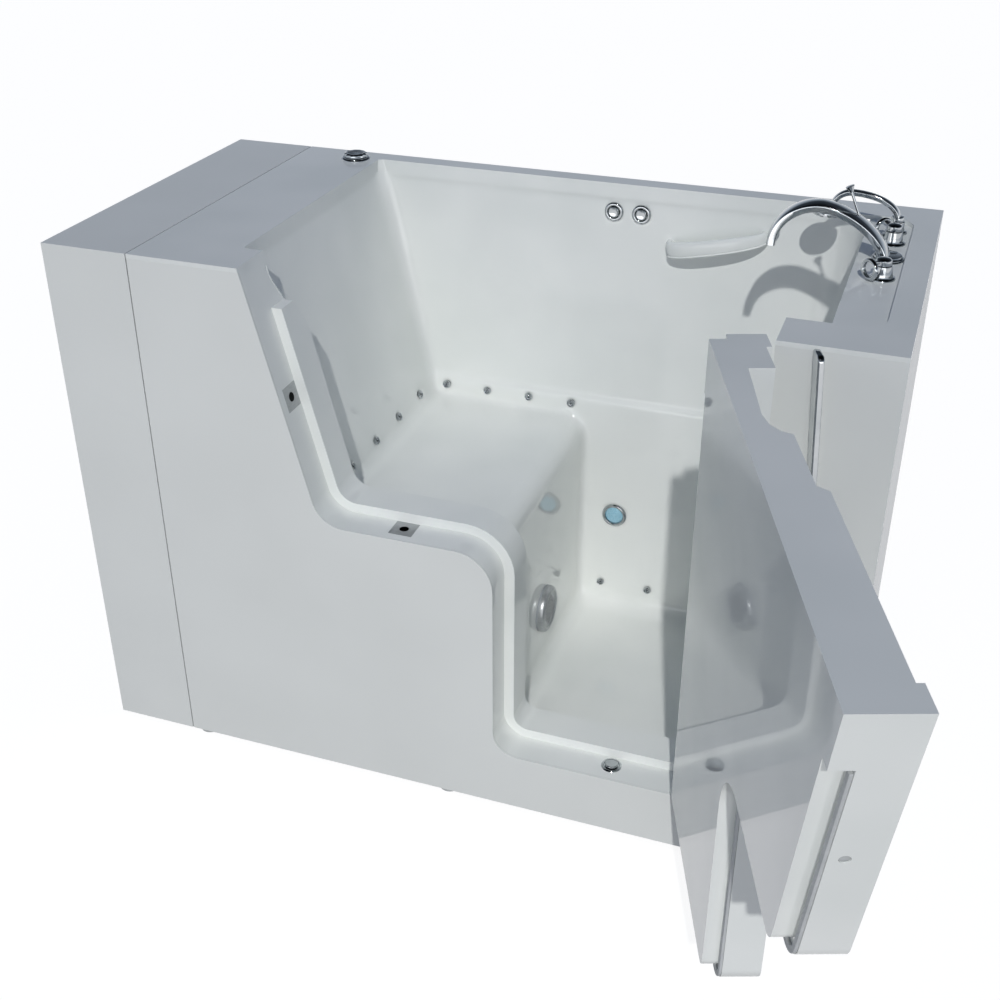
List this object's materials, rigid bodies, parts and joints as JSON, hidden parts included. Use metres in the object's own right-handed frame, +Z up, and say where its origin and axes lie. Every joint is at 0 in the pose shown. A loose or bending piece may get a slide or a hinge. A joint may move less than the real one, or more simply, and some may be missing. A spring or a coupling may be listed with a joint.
{
  "type": "walk-in bathtub with door",
  "caption": "Walk-in bathtub with a seat, a footwell and an outward-opening L-shaped door, with jets, a light, a deck spout and a hand shower.",
  "frame": {"origin": "centre of the tub's footprint on the floor", "axes": "+Z up, -Y towards the front with the door, +X towards the tap end"},
  "size_m": [1.6196, 1.607, 1.1967],
  "materials": {
    "gelcoat_white": "glossy white gelcoat on moulded acrylic and glass fibre",
    "panel_white": "glossy white skirt panels",
    "chrome": "polished chrome on brass",
    "satin_steel": "satin stainless steel",
    "frame_steel": "dark powder coat on welded square tube",
    "pump_plastic": "black moulded plastic",
    "motor_paint": "grey paint on a steel motor case",
    "pipe_plastic": "white pressure pipe",
    "seal_rubber": "pale grey silicone seal",
    "lens_blue": "frosted pale blue light lens",
    "valve_brass": "rough cast brass",
    "tray_steel": "galvanised sheet steel",
    "grey_plastic": "grey moulded suction body"
  },
  "bodies": {
    "tub": {"tub_shell": "gelcoat_white", "front_surround": "gelcoat_white", "front_panel": "panel_white", "end_panel": "panel_white", "extension_panel": "panel_white", "support_frame": "frame_steel", "levelling_feet": "satin_steel", "equipment_tray": "tray_steel", "pump_volute": "pump_plastic", "pump_motor": "motor_paint", "control_box": "pump_plastic", "suction_body": "grey_plastic", "suction_cover": "chrome", "suction_pipe": "pipe_plastic", "jet_nozzles": "chrome", "jet_pipework": "pipe_plastic", "light_housing": "chrome", "light_lens": "lens_blue", "floor_drain": "chrome", "drain_strainer": "chrome", "waste_pipe": "pipe_plastic", "threshold_drain": "chrome", "threshold_cap": "chrome", "striker_plates": "satin_steel", "grab_handle": "gelcoat_white", "grab_bar": "chrome", "button_bezels": "chrome", "air_control_base": "chrome", "spout": "chrome", "spout_collar": "chrome", "tap_bases": "chrome", "shower_cradle": "chrome", "mixer_body": "valve_brass", "hinge_jamb_leaves": "satin_steel", "hinge_pins": "satin_steel"},
    "door": {"door_outer": "gelcoat_white", "door_inner": "gelcoat_white", "door_gasket": "seal_rubber", "latch_plate": "satin_steel", "hinge_door_leaves": "satin_steel"},
    "latch": {"latch_lever": "chrome"},
    "top_bolt": {"upper_bolt": "satin_steel"},
    "bottom_bolt": {"lower_bolt": "satin_steel"},
    "pump_push": {"pump_button": "chrome"},
    "light_push": {"light_button": "chrome"},
    "air_dial": {"air_control_knob": "chrome"},
    "diverter": {"diverter_rod": "chrome"},
    "hot_tap": {"hot_handle": "chrome"},
    "cold_tap": {"cold_handle": "chrome"},
    "shower": {"hand_shower": "chrome"}
  },
  "joints": [
    {"name": "door_swing", "type": "hinge", "parent": "tub", "child": "door", "pos_m": [0.545, -0.3633, 0.6], "axis": [0, 0, 1], "range_deg": [-110, 8]},
    {"name": "latch_turn", "type": "hinge", "parent": "door", "child": "latch", "pos_m": [0.7727, -0.97427, 0.8], "axis": [0.9397, 0.342, 0], "range_deg": [0, 90]},
    {"name": "top_bolt_throw", "type": "slide", "parent": "door", "child": "top_bolt", "axis": [0.3319, -0.9118, -0.2419], "range_m": [0, 0.018]},
    {"name": "bottom_bolt_throw", "type": "slide", "parent": "door", "child": "bottom_bolt", "axis": [0, 0, -1], "range_m": [0, 0.018]},
    {"name": "pump_button_push", "type": "slide", "parent": "tub", "child": "pump_push", "axis": [0, 1, 0], "range_m": [0, 0.003], "stiffness_N_per_m": 400},
    {"name": "light_button_push", "type": "slide", "parent": "tub", "child": "light_push", "axis": [0, 1, 0], "range_m": [0, 0.003], "stiffness_N_per_m": 400},
    {"name": "air_dial_turn", "type": "hinge", "parent": "tub", "child": "air_dial", "pos_m": [-0.4522, 0.3133, 1.0795], "axis": [0, 0, 1], "range_deg": [-60, 60]},
    {"name": "diverter_lift", "type": "slide", "parent": "tub", "child": "diverter", "axis": [-0.4067, 0, 0.9135], "range_m": [0, 0.015]},
    {"name": "hot_turn", "type": "hinge", "parent": "tub", "child": "hot_tap", "pos_m": [0.686, -0.0233, 1.0715], "axis": [0, 0, 1], "range_deg": [-80, 0]},
    {"name": "cold_turn", "type": "hinge", "parent": "tub", "child": "cold_tap", "pos_m": [0.686, 0.1647, 1.0715], "axis": [0, 0, 1], "range_deg": [0, 80]},
    {"name": "shower_lift", "type": "slide", "parent": "tub", "child": "shower", "axis": [0, 0, 1], "range_m": [0, 0.06]}
  ],
  "couplings": [
    {"joint": "top_bolt_throw", "follows": "latch_turn", "m_per_rad": 0.011459},
    {"joint": "bottom_bolt_throw", "follows": "latch_turn", "m_per_rad": 0.011459}
  ]
}
